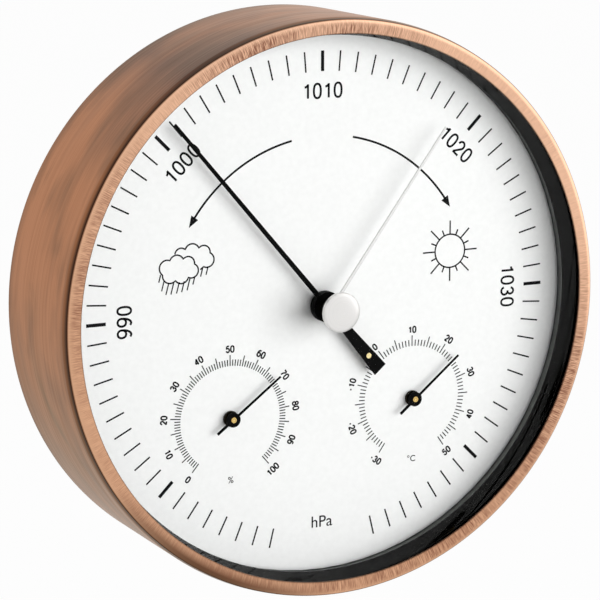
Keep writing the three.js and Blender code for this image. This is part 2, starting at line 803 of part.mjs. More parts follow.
function coilGauge(prefix, x, pointerTurn, coilFinish) {
  const fixed = groupAt(
    x, gaugeZ, 0,
    piece(`${prefix}_plate`, gaugePlate(), steel),
    piece(`${prefix}_bush`, gaugeBush(), brass),
    piece(`${prefix}_coil`, gaugeCoil(), coilFinish),
  );
  const moving = groupAt(
    x, gaugeZ, pointerTurn,
    piece(`${prefix}_arbor`, gaugeArbor(), brass),
    piece(`${prefix}_pointer`, gaugePointer(), satinBlack),
  );
  return [fixed, moving];
}

const station = new THREE.Group();
station.add(
  piece('case_shell', caseShell(), copper),
  piece('glass', glassPane(), clear),
  piece('spacer_ring', spacerRing(), glossBlack),
  piece('dial', dialPlate(), dialWhite),
  piece('dial_carrier', dialCarrier(), carrierWhite),
  piece('rear_cover', rearCover(), satinBlack),
  piece('movement_plate', movementPlate(), steel),
  piece('bridge', bridge(), brass),
  piece('rocking_shaft', rockingShaft(), steel),
  piece('hairspring', hairspring(), bronze),
);
framePillars.forEach(([x, z], i) => station.add(groupAt(
  x, z, 0,
  piece(`movement_screw_${i + 1}`, screwGeometry(screwRecess, plateFront + screwReach), steel),
  piece(`pillar_${i + 1}`, pillar(), brass),
  piece(`bridge_screw_${i + 1}`, screwGeometry(
    bridgeFront + seatGap + screwHeadHeight, bridgeBack - screwReach,
  ), steel),
)));
station.add(
  groupAt(
    capsuleX, capsuleZ, 0,
    piece('capsule_lower', capsuleLower(), bronze),
    piece('capsule_upper', capsuleUpper(), bronze),
    piece('capsule_stud', capsuleStud(), steel),
    piece('regulating_screw', regulatingScrew(), brass),
  ),
  groupAt(
    sectorX, sectorZ, 0,
    piece('sector_gear', sectorGear(), brass),
    piece('sector_arbor', sectorArbor(), steel),
  ),
  piece('pointer_arbor', pointerArbor(), steel),
  groupAt(
    0, 0, pointerAngle,
    piece('pointer_bush', pointerBush(), steel),
    piece('pressure_pointer', pressurePointer(), satinBlack),
    piece('tail_rivet', tailRivet(), brass),
  ),
  groupAt(
    0, 0, setPointerAngle,
    piece('set_pointer', setPointer(), silver),
    piece('set_spindle', setSpindle(), brass),
    piece('spring_washer', springWasher(), bronze),
    piece('set_knob', setKnob(), silver),
  ),
  ...coilGauge('humidity', -gaugeX, humidityAngle, bronze),
  ...coilGauge('temperature', gaugeX, temperatureAngle, bronze),
);

export default station;
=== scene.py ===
import math

import bpy
import numpy as np
from mathutils import Matrix, Vector


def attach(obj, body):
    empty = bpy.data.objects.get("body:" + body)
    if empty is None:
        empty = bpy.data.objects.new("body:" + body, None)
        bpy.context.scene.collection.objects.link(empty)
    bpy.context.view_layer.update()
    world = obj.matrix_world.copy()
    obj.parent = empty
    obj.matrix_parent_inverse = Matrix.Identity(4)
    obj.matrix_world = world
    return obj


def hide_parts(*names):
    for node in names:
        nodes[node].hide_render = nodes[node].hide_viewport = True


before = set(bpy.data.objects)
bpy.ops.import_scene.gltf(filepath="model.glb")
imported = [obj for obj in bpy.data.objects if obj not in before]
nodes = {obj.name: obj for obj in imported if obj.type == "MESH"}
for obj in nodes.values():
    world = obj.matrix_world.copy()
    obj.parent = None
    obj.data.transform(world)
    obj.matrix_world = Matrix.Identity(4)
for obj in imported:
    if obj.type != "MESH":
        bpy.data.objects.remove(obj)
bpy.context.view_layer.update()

# Looks for the wall-hung weather station. The CAD frame is in metres, the dial faces -Y and the
# wall is at y = 0, so a depth below is a distance in front of the wall. Sizes in the dictionaries
# are millimetres, angles are degrees clockwise from the top as the dial is read.
mm = 0.001
sides = 256  # columns round a large turned piece
sharpAngle = 32  # degrees between faces, from which the edge shades sharp
mergeDistance = 1e-7  # metres
scene = bpy.context.scene


# Helpers

def linear(hexColour):  # sRGB hex to linear colour with alpha 1
    parts = np.array([int(hexColour[i:i + 2], 16) for i in (1, 3, 5)]) / 255
    curve = np.where(parts <= 0.04045, parts / 12.92, ((parts + 0.055) / 1.055) ** 2.4)
    return tuple(float(c) for c in curve) + (1.0,)


def grey(level):
    return (level, level, level, 1.0)


def addNode(tree, kind, inputs=None, stops=None, **settings):  # a node with its settings and links
    node = tree.nodes.new("ShaderNode" + kind)
    for key, value in settings.items():
        setattr(node, key, value)
    for key, value in (inputs or {}).items():
        if isinstance(value, bpy.types.NodeSocket):
            tree.links.new(value, node.inputs[key])
        else:
            node.inputs[key].default_value = value
    if stops:  # places on a ramp, each with a colour or a level of grey
        ramp = node.color_ramp.elements
        stops = [(at, tone if isinstance(tone, tuple) else grey(tone)) for at, tone in stops]
        ramp[0].position, ramp[0].color = stops[0]
        ramp[1].position, ramp[1].color = stops[-1]
        for at, tone in stops[1:-1]:
            ramp.new(at).color = tone
    return node


def newMaterial(name, **shader):  # a Principled material; underscores in the names stand for spaces
    material = bpy.data.materials.new(name)
    material.use_nodes = True
    tree = material.node_tree
    shell = tree.nodes["Principled BSDF"]
    for key, value in shader.items():
        shell.inputs[key.replace("_", " ")].default_value = value
    return material, tree, shell


def makePiece(name, points, faces, material, body, replaces=(), uv=None, smooth=True):
    # points in mm as (x, depth, z); doubles at poles and seams are merged, faces turned out
    points = np.asarray(points, float).reshape(-1, 3) * (mm, -mm, mm)
    mesh = bpy.data.meshes.new(name)
    faces = faces.tolist() if isinstance(faces, np.ndarray) else faces
    mesh.from_pydata(points.tolist(), [], faces)
    if uv is not None:
        layer = mesh.uv_layers.new(name="surface")
        layer.data.foreach_set("uv", np.asarray(uv, np.float32).ravel())
    return finishMesh(name, mesh, material, body, replaces, smooth)


def finishMesh(name, mesh, material, body, replaces=(), smooth=True):
    bpy.ops.object.select_all(action="DESELECT")
    obj = bpy.data.objects.new(name, mesh)
    scene.collection.objects.link(obj)
    bpy.context.view_layer.objects.active = obj
    obj.select_set(True)
    bpy.ops.object.mode_set(mode="EDIT")
    bpy.ops.mesh.select_all(action="SELECT")
    bpy.ops.mesh.remove_doubles(threshold=mergeDistance)
    bpy.ops.mesh.normals_make_consistent(inside=False)
    bpy.ops.object.mode_set(mode="OBJECT")
    if smooth:
        mesh.shade_smooth()
        mesh.set_sharp_from_angle(angle=math.radians(sharpAngle))
    mesh.materials.clear()
    mesh.materials.append(material)
    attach(obj, body)
    for node in replaces:
        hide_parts(node)
    return obj


def gridFaces(rows, cols, closeRows):
    # quads between neighbouring rows and columns of a grid whose columns close on themselves,
    # with the row and column that each corner stands for
    i, j = np.meshgrid(np.arange(rows if closeRows else rows - 1), np.arange(cols), indexing="ij")
    cornerRow = np.stack([i, i + 1, i + 1, i], -1).reshape(-1, 4)
    cornerCol = np.stack([j, j, j + 1, j + 1], -1).reshape(-1, 4)
    return cornerRow % rows * cols + cornerCol % cols, cornerRow, cornerCol


def rounded(corners, steps=8, support=0.06):
    # a profile whose corners (radius, depth, fillet) become arcs that touch both sides, with a
    # support point just outside each arc so that flat parts shade flat
    corners = np.asarray(corners, float)
    place, fillet = corners[:, :2], corners[:, 2]
    toLast = np.roll(place, 1, 0) - place
    toNext = np.roll(place, -1, 0) - place
    toLast /= np.linalg.norm(toLast, axis=1)[:, None]
    toNext /= np.linalg.norm(toNext, axis=1)[:, None]
    half = np.arccos(np.clip((toLast * toNext).sum(1), -1, 1)) / 2
    reach = fillet / np.tan(half)
    middle = toLast + toNext
    middle /= np.linalg.norm(middle, axis=1)[:, None]
    centre = place + middle * (fillet / np.sin(half))[:, None]
    start = place + toLast * reach[:, None] - centre
    end = place + toNext * reach[:, None] - centre
    turn = (np.pi - 2 * half)[:, None, None]
    t = np.linspace(0, 1, steps)[None, :, None]
    arc = np.sin((1 - t) * turn) * start[:, None] + np.sin(t * turn) * end[:, None]
    arc = arc / np.sin(turn) + centre[:, None]
    before = place + toLast * (reach + support)[:, None]
    after = place + toNext * (reach + support)[:, None]
    return np.concatenate([before[:, None], arc, after[:, None]], 1).reshape(-1, 2)


def turnedPoints(profile, cols, x=0.0, z=0.0):
    # a profile of (radius, depth) turned about an axis through (x, z) that runs front to back
    angle = np.arange(cols) * 2 * np.pi / cols - np.pi / 2
    radius, depth = profile[:, :1], profile[:, 1:]
    return np.stack([x + radius * np.cos(angle), depth + 0 * angle, z + radius * np.sin(angle)], -1)


def turned(name, profile, material, body, replaces=(), x=0.0, z=0.0, cols=sides, ring=True,
           zero=0.0):
    # a turned piece; its UV map has turns across and decimetres along the profile up, 0.5 at zero
    profile = np.asarray(profile, float)
    faces, row, col = gridFaces(len(profile), cols, ring)
    step = np.linalg.norm(np.diff(profile, axis=0, append=profile[:1]), axis=1)
    along = np.concatenate([[0], np.cumsum(step)])
    uv = np.stack([col / cols, (along[row] - zero) / 100 + 0.5], -1)
    points = turnedPoints(profile, cols, x, z)
    return makePiece(name, points, faces, material, body, replaces, uv)


def turnedAt(x, z, clockwise, points):
    # front-view points (across, depth, up) turned clockwise and put at (x, z)
    a = math.radians(clockwise)
    across, depth, up = np.moveaxis(np.asarray(points, float), -1, 0)
    return np.stack([x + across * math.cos(a) + up * math.sin(a), depth,
                     z + up * math.cos(a) - across * math.sin(a)], -1)


def joinedParts(parts):  # sets of points, each with its arrays of triangles or quads, as one
    points, faces, start = [], [], 0
    for partPoints, *faceArrays in parts:
        points.append(np.asarray(partPoints, float).reshape(-1, 3))
        for array in faceArrays:
            faces += (np.asarray(array) + start).tolist()
        start += len(points[-1])
    return np.concatenate(points), faces


def dialPlace(radius, clockwise):  # front-view point at a radius and clockwise angle
    a = np.radians(clockwise)
    return np.stack(np.broadcast_arrays(radius * np.sin(a), radius * np.cos(a)), -1)


# Camera, at the photograph's viewing angle, taken as a 600 x 600 frame
cameraSet = {
    "azimuth": -26.07, "elevation": 11.31, "distance": 622.8, "lens": 165.33, "sensor": 36,
    "clip": 10,  # nearest that it sees
    "target": (-5.68, 26.91, 1.65),  # x, depth, z
}


def placeCamera():
    az, el = math.radians(cameraSet["azimuth"]), math.radians(cameraSet["elevation"])
    back = Vector((math.sin(az) * math.cos(el), -math.cos(az) * math.cos(el), math.sin(el)))
    x, depth, z = cameraSet["target"]
    eye = Vector((x, -depth, z)) * mm + back * cameraSet["distance"] * mm
    right = Vector((0, 0, 1)).cross(back).normalized()
    data = bpy.data.cameras.new("camera")
    data.lens = cameraSet["lens"]
    data.sensor_width = cameraSet["sensor"]
    data.clip_start = cameraSet["clip"] * mm
    camera = bpy.data.objects.new("camera", data)
    turn = Matrix((right, back.cross(right), back)).transposed().to_4x4()
    camera.matrix_world = Matrix.Translation(eye) @ turn
    scene.collection.objects.link(camera)
    scene.camera = camera


placeCamera()
print("camera in place")


# Light, floor and background, with lengths in metres
studioSet = {
    "fill": 0.17, "fillColour": "#fbfbfb", "aim": (0, -0.027, 0),
    "floorHeight": -0.35, "floorSize": 30.0, "floorColour": "#f2f2f1",
    "floorWhite": 0.94, "floorGlow": 1.03,  # share and strength of the white that it shows
}
# broad soft box, right of the camera
keySet = {"place": (0.72, -1.46, -0.10), "size": 1.8, "power": 43.8}
# pale card that only metal shows
glintSet = {"place": (1.15, 0.0, 0.55), "size": 2.2, "power": 10.0}


def addLamp(name, place, size, power):
    data = bpy.data.lights.new(name, "AREA")
    data.size = size
    data.energy = power
    lamp = bpy.data.objects.new(name, data)
    lamp.location = place
    aim = Vector(studioSet["aim"]) - Vector(place)
    lamp.rotation_euler = aim.to_track_quat("-Z", "Y").to_euler()
    scene.collection.objects.link(lamp)
    return lamp


def showsWhite(tree):  # 1 for rays from the camera, off metal and through glass
    path = addNode(tree, "LightPath")
    first = addNode(tree, "Math", {
        0: path.outputs["Is Camera Ray"], 1: path.outputs["Is Glossy Ray"]}, operation="MAXIMUM")
    return addNode(tree, "Math", {0: first.outputs[0], 1: path.outputs["Is Transmission Ray"]},
                   operation="MAXIMUM").outputs[0]


def buildStudio():
    world = bpy.data.worlds.new("studio")
    world.use_nodes = True
    scene.world = world
    tree = world.node_tree
    tree.nodes.clear()
    fill = addNode(tree, "Background", {
        "Color": linear(studioSet["fillColour"]), "Strength": studioSet["fill"]})
    white = addNode(tree, "Background", {"Color": grey(1.0), "Strength": 1.0})
    mixed = addNode(tree, "MixShader", {
        0: showsWhite(tree), 1: fill.outputs[0], 2: white.outputs[0]})
    addNode(tree, "OutputWorld", {"Surface": mixed.outputs[0]})

    half = studioSet["floorSize"] / 2
    corners = np.array([(-1, -1, 0), (1, -1, 0), (1, 1, 0), (-1, 1, 0)]) * half
    mesh = bpy.data.meshes.new("studio_floor")
    mesh.from_pydata(corners.tolist(), [], [(0, 1, 2, 3)])
    floor = bpy.data.objects.new("studio_floor", mesh)
    floor.location.z = studioSet["floorHeight"]
    scene.collection.objects.link(floor)
    # paper sweep: matt and pale, it reads white and keeps a trace of the shadow
    material, tree, shell = newMaterial("paperSweep", Base_Color=linear(studioSet["floorColour"]),
                                        Roughness=0.9, Specular_IOR_Level=0.1)
    glow = addNode(tree, "Emission", {"Color": grey(1.0), "Strength": studioSet["floorGlow"]})
    share = addNode(tree, "Math", {
        0: showsWhite(tree), 1: studioSet["floorWhite"]}, operation="MULTIPLY")
    mixed = addNode(tree, "MixShader", {
        0: share.outputs[0], 1: shell.outputs[0], 2: glow.outputs[0]})
    tree.links.new(mixed.outputs[0], tree.nodes["Material Output"].inputs["Surface"])
    mesh.materials.append(material)

    addLamp("keyLamp", **keySet).visible_glossy = False
    addLamp("glintLamp", **glintSet).visible_diffuse = False
    scene.view_settings.view_transform = "Standard"


buildStudio()
print("studio lit")


# Materials

noiseRange = (0.3, 0.7)  # levels between which most of a noise lies


def dressShell(tree, shell, noise, roughness, bumpDepth, strength, colours=()):
    # gloss, relief and colour that follow one noise
    low, high = noiseRange
    rough = addNode(tree, "MapRange", {"Value": noise, "From Min": low, "From Max": high,
                                       "To Min": roughness[0], "To Max": roughness[1]})
    tree.links.new(rough.outputs[0], shell.inputs["Roughness"])
    bump = addNode(tree, "Bump", {
        "Strength": strength, "Distance": bumpDepth * mm, "Height": noise})
    tree.links.new(bump.outputs[0], shell.inputs["Normal"])
    if colours:
        tones = [(at, linear(colour)) for at, colour in zip(noiseRange, colours)]
        tone = addNode(tree, "ValToRGB", {"Fac": noise}, stops=tones)
        tree.links.new(tone.outputs[0], shell.inputs["Base Color"])


copperSet = {
    "side": "#b0744f", "sideDark": "#5e3c31", "sideOlive": "#52462a", "sideEdge": "#fbf4ea",
    "lip": "#f3c4a4", "lipInShade": "#d9a886", "lipMark": "#80503d", "lipDark": "#4e3320",
    "patina": "#2c1408", "smudge": "#402b1c",
    "sideRadius": 66, "lipRadius": 64, "gloss": (0.28, 0.40), "relief": 0.03, "strength": 0.15,
    "brushLength": 40, "brushWidth": 0.5,  # fine lines left by the brush round the side
    "cloudLength": 36, "cloudWidth": 20, "cloudTurn": -25,  # broad darker clouds in the patina
    "smudgeLength": 19, "smudgeWidth": 6.0,  # dark smudges drawn out round the side
    "markLength": 2.6, "markWidth": 0.12,  # strokes across the lip, twice as coarse as real ones
    "patchSize": 15,  # patches where the strokes are worn
    # how much of each shows for a level of its noise
    "clouds": [(0.45, 0.0), (0.72, 0.9)], "smudges": [(0.48, 0.0), (0.76, 0.42)],
    "marks": [(0.38, 0.0), (0.58, 1.0)], "patches": [(0.36, 0.55), (0.60, 1.0)],
    # across the map, the colour of the clouds and of the painted shade
    "cloudTones": [(0.0, "sideOlive"), (0.2, "sideDark"), (0.62, "sideDark"), (0.80, "sideOlive")],
    # across the map, how dark the painted shade makes the side: most at the upper left and lower
    # left
    "sideShade": [(0.0, 0.05), (0.2, 0.2), (0.35, 0.05), (0.49, 0.0), (0.55, 0.42), (0.585, 0.56),
             (0.605, 0.32), (0.63, 0.06), (0.72, 0.0), (0.77, 0.12), (0.83, 0.40), (0.9, 0.25),
             (1.0, 0.05)],
    # across the map, how deep the strokes are: at the top, the left and the lower right
    "depth": [(0.0, 0.7), (0.03, 0.9), (0.22, 0.9), (0.28, 0.2), (0.44, 0.3), (0.475, 1.0),
              (0.57, 1.0), (0.60, 0.5), (0.63, 0.3), (0.67, 0.7), (0.74, 1.0), (0.78, 0.4),
              (0.84, 0.4), (1.0, 0.7)],
    # up the map, how much patina is left: along the back, behind the lip and on the cut edge
    "left": [(0.13, 0.7), (0.15, 0.42), (0.185, 0.0), (0.466, 0.0), (0.488, 0.42), (0.497, 1.0),
             (0.5005, 1.0), (0.503, 0.0), (0.5315, 0.0), (0.5335, 1.0)],
    # up the map, the lip, the strokes on its inner slope and the painted shade on its outer one
    "onLip": [(0.499, 0.0), (0.503, 1.0)], "onSlope": [(0.505, 0.15), (0.514, 1.0)],
    "onOuter": [(0.512, 0.9), (0.529, 0.15)],
    "below": (-0.5, 0, -0.866),  # the way to the part of the lip with the most painted shade, at the lower left
}


def antiquedCopper():
    # copper plate, brushed and darkened, then rubbed bright on the lip: brown side with fine lines,
    # clouds and smudges round it, and painted shade at its upper left and lower left; pale lip
    # with short strokes on its inner slope, and painted shade towards its lower left, most on
    # the outer slope; dark patina left behind the lip, along the back and on the cut edge
    s = copperSet
    material, tree, shell = newMaterial("antiquedBrushedCopper", Metallic=1.0,
                                        Specular_Tint=linear(s["sideEdge"]))
    place = addNode(tree, "TexCoord")
    here = place.outputs["Object"]
    flat = addNode(tree, "VectorMath", {0: here, 1: (1, 0, 1)}, operation="MULTIPLY")
    radius = addNode(tree, "VectorMath", {0: flat.outputs[0]}, operation="LENGTH")
    way = addNode(tree, "VectorMath", {0: flat.outputs[0]}, operation="NORMALIZE")
    # across the map: the way round, 0 at the bottom, 0.25 right, 0.5 top, 0.75 left; up the map:
    # the way along the profile, 0.5 is the corner between side and lip, 0.01 is a millimetre
    along = addNode(tree, "SeparateXYZ", {0: place.outputs["UV"]})
    across, up = along.outputs["X"], along.outputs["Y"]

    brushScale = 1 / (np.array([s["brushLength"], s["brushWidth"], s["brushLength"]]) * mm)
    brushPlace = addNode(tree, "Mapping", {"Vector": here, "Scale": brushScale})
    brush = addNode(tree, "TexNoise", {
        "Vector": brushPlace.outputs[0], "Scale": 1.0, "Detail": 3.0, "Roughness": 0.55})
    brushMask = addNode(tree, "MapRange", {
        "Value": brush.outputs["Fac"], "From Min": 0.35, "From Max": 0.65, "To Max": 0.13})
    cloudScale = 1 / (np.array([s["cloudLength"], s["cloudWidth"], s["cloudLength"]]) * mm)
    cloudPlace = addNode(tree, "Mapping", {
        "Vector": here, "Scale": cloudScale, "Rotation": (0, math.radians(s["cloudTurn"]), 0)})
    clouds = addNode(tree, "TexNoise", {"Vector": cloudPlace.outputs[0], "Scale": 1.0,
                                        "Detail": 3.0, "Roughness": 0.5, "Distortion": 0.8})
    cloudMask = addNode(tree, "ValToRGB", {"Fac": clouds.outputs[0]}, stops=s["clouds"])
    # painted shade: the side darkened by the way round, most at the upper left and the lower left
    sideShading = addNode(tree, "ValToRGB", {"Fac": across}, stops=s["sideShade"])
    darkTone = addNode(tree, "ValToRGB", {"Fac": across}, stops=[
        (at, linear(s[tone])) for at, tone in s["cloudTones"]])
    lined = addNode(tree, "Math", {
        0: cloudMask.outputs[0], 1: 0.5, 2: brushMask.outputs[0]}, operation="MULTIPLY_ADD")
    # the side's darkness: clouds and brush lines, with the painted shade added
    dark = addNode(tree, "Math", {
        0: lined.outputs[0], 1: sideShading.outputs[0]}, operation="ADD", use_clamp=True)
    # smudges: noise on the direction from the axis and the depth, drawn out along the way round
    wound = addNode(tree, "VectorMath", {
        0: way.outputs[0], "Scale": s["sideRadius"] / s["smudgeLength"]}, operation="SCALE")
    deep = addNode(tree, "VectorMath", {
        0: here, 1: (0, 1 / (s["smudgeWidth"] * mm), 0)}, operation="MULTIPLY")
    smudgePlace = addNode(tree, "VectorMath", {
        0: wound.outputs[0], 1: deep.outputs[0]}, operation="ADD")
    smudges = addNode(tree, "TexNoise", {"Vector": smudgePlace.outputs[0], "Scale": 1.0,
                                         "Detail": 2.0, "Roughness": 0.5, "Distortion": 0.3})
    smudgeMask = addNode(tree, "ValToRGB", {"Fac": smudges.outputs[0]}, stops=s["smudges"])
    side = linear(s["side"])
    for mask, tone in ((dark, darkTone.outputs[0]), (smudgeMask, linear(s["smudge"]))):
        side = addNode(tree, "Mix", {
            0: mask.outputs[0], 6: side, 7: tone}, data_type="RGBA").outputs[2]

    # strokes across the lip: noise on the direction from the axis, drawn out along the radius
    around = addNode(tree, "VectorMath", {
        0: way.outputs[0], "Scale": s["lipRadius"] / s["markWidth"]}, operation="SCALE")
    outward = addNode(tree, "Math", {
        0: radius.outputs["Value"], 1: 1 / (s["markLength"] * mm)}, operation="MULTIPLY")
    lift = addNode(tree, "CombineXYZ", {"Y": outward.outputs[0]})
    markPlace = addNode(tree, "VectorMath", {
        0: around.outputs[0], 1: lift.outputs[0]}, operation="ADD")
    marks = addNode(tree, "TexNoise", {
        "Vector": markPlace.outputs[0], "Scale": 1.0, "Detail": 2.0, "Roughness": 0.55})
    markMask = addNode(tree, "ValToRGB", {"Fac": marks.outputs[0]}, stops=s["marks"])
    patchScale = 1 / (s["patchSize"] * mm)
    patches = addNode(tree, "TexNoise", {
        "Vector": flat.outputs[0], "Scale": patchScale, "Detail": 3.0, "Roughness": 0.6})
    patchMask = addNode(tree, "ValToRGB", {"Fac": patches.outputs[0]}, stops=s["patches"])
    struck = addNode(tree, "ValToRGB", {"Fac": across}, stops=s["depth"])
    onSlope = addNode(tree, "ValToRGB", {"Fac": up}, stops=s["onSlope"])
    stroked = markMask
    for mask in (patchMask, struck, onSlope):
        stroked = addNode(tree, "Math", {
            0: stroked.outputs[0], 1: mask.outputs[0]}, operation="MULTIPLY")
    # painted shade: the lip darkens away from its upper right,
    # most on the outer slope at its lower left
    below = addNode(tree, "VectorMath", {0: way.outputs[0], 1: s["below"]}, operation="DOT_PRODUCT")
    lipShade = addNode(tree, "MapRange", {
        "Value": below.outputs["Value"], "From Min": -0.8, "From Max": 0.5})
    low = addNode(tree, "MapRange", {
        "Value": below.outputs["Value"], "From Min": 0.88, "From Max": 1.0})
    onOuter = addNode(tree, "ValToRGB", {"Fac": up}, stops=s["onOuter"])
    outerShade = addNode(tree, "Math", {
        0: low.outputs[0], 1: onOuter.outputs[0]}, operation="MULTIPLY")
    # the lip's colour with the painted shade, then the strokes
    lip = linear(s["lip"])
    for mask, tone in ((lipShade, "lipInShade"), (outerShade, "lipDark"), (stroked, "lipMark")):
        lip = addNode(tree, "Mix", {
            0: mask.outputs[0], 6: lip, 7: linear(s[tone])}, data_type="RGBA").outputs[2]

    onLip = addNode(tree, "ValToRGB", {"Fac": up}, stops=s["onLip"])
    region = addNode(tree, "Mix", {0: onLip.outputs[0], 6: side, 7: lip}, data_type="RGBA")
    inEdge = addNode(tree, "ValToRGB", {"Fac": up}, stops=s["left"])
    colour = addNode(tree, "Mix", {
        0: inEdge.outputs[0], 6: region.outputs[2], 7: linear(s["patina"])}, data_type="RGBA")
    tree.links.new(colour.outputs[2], shell.inputs["Base Color"])

    relief = addNode(tree, "Mix", {
        0: onLip.outputs[0], 2: brush.outputs["Fac"], 3: marks.outputs["Fac"]})
    dressShell(tree, shell, relief.outputs[0], s["gloss"], s["relief"], s["strength"])
    return material


def mineralGlass():
    # float glass with a coating against glare: clear, and mirrors only at a glancing view
    material, tree, shell = newMaterial("coatedFloatGlass", Base_Color=grey(1.0), Roughness=0.0,
                                        IOR=1.12, Transmission_Weight=1.0, Specular_Tint=grey(0.0))
    path = addNode(tree, "LightPath")
    first = addNode(tree, "Math", {
        0: path.outputs["Is Shadow Ray"], 1: path.outputs["Is Diffuse Ray"]}, operation="MAXIMUM")
    mirrored = addNode(tree, "Math", {0: path.outputs["Is Glossy Ray"],
                                      1: path.outputs["Is Transmission Ray"]}, operation="SUBTRACT")
    lets = addNode(tree, "Math", {0: first.outputs[0], 1: mirrored.outputs[0]}, operation="MAXIMUM")
    clear = addNode(tree, "BsdfTransparent", {"Color": grey(1.0)})
    mixed = addNode(tree, "MixShader", {
        0: lets.outputs[0], 1: shell.outputs[0], 2: clear.outputs[0]})
    tree.links.new(mixed.outputs[0], tree.nodes["Material Output"].inputs["Surface"])
    return material


def grained(name, colours, grain, roughness, bumpDepth, stretch=(1, 1, 1), strength=0.25,
            **shader):
    # a finish whose colour, gloss and relief vary a little with a grain of a real size, in mm
    material, tree, shell = newMaterial(name, **shader)
    place = addNode(tree, "TexCoord")
    scale = tuple(s / (grain * mm) for s in stretch)
    spread = addNode(tree, "Mapping", {"Vector": place.outputs["Object"], "Scale": scale})
    noise = addNode(tree, "TexNoise", {
        "Vector": spread.outputs[0], "Scale": 1.0, "Detail": 3.0, "Roughness": 0.55})
    dressShell(tree, shell, noise.outputs[0], roughness, bumpDepth, strength, colours)
    return material


def turnedMetal(name, colours, pitch, roughness, x=0.0, z=0.0, bumpDepth=0.02, strength=0.15):
    # lathe-turned metal: fine rings round its axis that catch the light as an hourglass
    material, tree, shell = newMaterial(name, Metallic=1.0)
    place = addNode(tree, "TexCoord")
    centred = addNode(tree, "Mapping", {
        "Vector": place.outputs["Object"], "Location": (-x * mm, 0, -z * mm)})
    flat = addNode(tree, "VectorMath", {0: centred.outputs[0], 1: (1, 0, 1)}, operation="MULTIPLY")
    radius = addNode(tree, "VectorMath", {0: flat.outputs[0]}, operation="LENGTH")
    rings = addNode(tree, "TexNoise", {"W": radius.outputs["Value"], "Scale": 1 / (pitch * mm),
                                       "Detail": 2.0}, noise_dimensions="1D")
    dressShell(tree, shell, rings.outputs[0], roughness, bumpDepth, strength, colours)
    return material


# x and z of the small gauges
gaugeSet = {"humidity": (-23.15, -24.0), "temperature": (23.15, -24.0)}

copper = antiquedCopper()
glass = mineralGlass()
# gloss-moulded ABS: deep black that mirrors the dial's marks faintly
glossBlack = grained("glossMouldedAbs", ("#080807", "#0c0c0b"), 6, (0.015, 0.03), 0.001,
                     Specular_IOR_Level=0.15)
# spark-eroded mould texture on ABS: matt black with a fine leathery grit
mouldedBlack = grained("texturedMouldedAbs", ("#191918", "#232321"), 0.5, (0.5, 0.68), 0.05)
# baked satin lacquer on aluminium: soft white with the faintest orange peel
dialEnamel = grained("satinBakedEnamel", ("#f5f6f5", "#f9faf9"), 1.2, (0.42, 0.52), 0.004,
                     Specular_IOR_Level=0.3)
# moulded polystyrene: mid grey and dull
carrierPlastic = grained("mouldedPolystyrene", ("#7c7f7d", "#898c8a"), 2.5, (0.45, 0.6), 0.01,
                         Specular_IOR_Level=0.25)
# pad-printed ink: dense black, dull, a little thinner here and there
printInk = grained("padPrintedInk", ("#0a0a0b", "#151516"), 0.6, (0.55, 0.7), 0.002,
                   Specular_IOR_Level=0.08)
# satin stove lacquer on aluminium pointers: black, soft highlight
pointerLacquer = grained("satinBlackLacquer", ("#050505", "#0a0a0a"), 0.8, (0.36, 0.46), 0.004,
                         Specular_IOR_Level=0.04)
# brass in painted shade: made dark brown-black with a dull glint, for the collars
# and the washer that sit under the hubs
shadedBrass = grained("shadeDarkenedBrass", ("#15130f", "#2a251b"), 0.4, (0.4, 0.55), 0.006,
                     Metallic=1.0)
# silver lacquer on a thin strip: all but white on the dial, its edge a fine grey line
silverLacquer = grained("satinSilverLacquer", ("#d9d9d8", "#e3e3e2"), 0.5, (0.4, 0.5), 0.002,
                        Metallic=0.15, Specular_IOR_Level=0.2)
# turned brass: yellow, with fine rings about the axis it stands on
brass = {axis: turnedMetal("turnedBrass" + axis.capitalize(), ("#c39d52", "#ead08e"), 0.12,
                           (0.18, 0.32), *place)
         for axis, place in (("centre", (0, 0)), *gaugeSet.items())}
# satin silver plate on the knob: almost white, with soft turned rings
silver = turnedMetal("satinTurnedSilver", ("#e2e1df", "#eceae8"), 0.16, (0.36, 0.46))
# rolled and bright-zinced steel: cool grey with faint drawn lines
zincSteel = grained("brightZincSteel", ("#8f9398", "#b4b8bc"), 0.5, (0.28, 0.44), 0.006,
                    (0.15, 1, 1), Metallic=1.0)
# rolled spring bronze: warm, slightly clouded
springBronze = grained("rolledSpringBronze", ("#a9713f", "#c4905a"), 1.5, (0.26, 0.42), 0.006,
                       Metallic=1.0)
# the rivet's head, polished brass: pale yellow
rivetBrass = turnedMetal("polishedBrass", ("#f0d993", "#fdf0c0"), 0.12, (0.15, 0.25))
# rolled sheet brass for the movement: yellow with faint drawn lines
sheetBrass = grained("rolledSheetBrass", ("#b08d46", "#cfae66"), 1.2, (0.24, 0.4), 0.006,
                     (0.2, 1, 1), Metallic=1.0)
print("materials made")


# Case, glazing ring and dial carrier
caseSet = {
    "radius": 66.0, "opening": 62.4, "depth": 36.6, "wall": 0.8, "back": 0.4, "roll": 2.2,
    "shoulder": 34.2, "corner": (65.65, 36.0), "crest": (64.7, 36.68), "edge": 36.3,
}


def buildCase():
    # the drawn wall and its turned-in lip as one profile: the wall leans in a little to a crisp
    # corner, the lip rises to a crest and falls to its cut edge
    s = caseSet
    inner = s["radius"] - s["wall"]
    under = s["depth"] - s["wall"]
    profile = rounded([
        (s["radius"] - s["roll"], s["back"], 0.25), (s["radius"], s["back"], 0.8),
        (s["radius"], s["shoulder"], 3.0), (*s["corner"], 0.35), (*s["crest"], 1.5),
        (s["opening"], s["edge"], 0.2), (s["opening"], under, 0.12),
        (inner, under, 0.4), (inner, s["back"] + s["wall"], 0.15),
        (s["radius"] - s["roll"], s["back"] + s["wall"], 0.25)], steps=10)
    step = np.linalg.norm(np.diff(profile, axis=0), axis=1)
    corner = np.argmin(np.linalg.norm(profile - s["corner"], axis=1))
    turned("case_skin", profile, copper, "root", ["case_shell"],
           zero=step[:corner].sum())


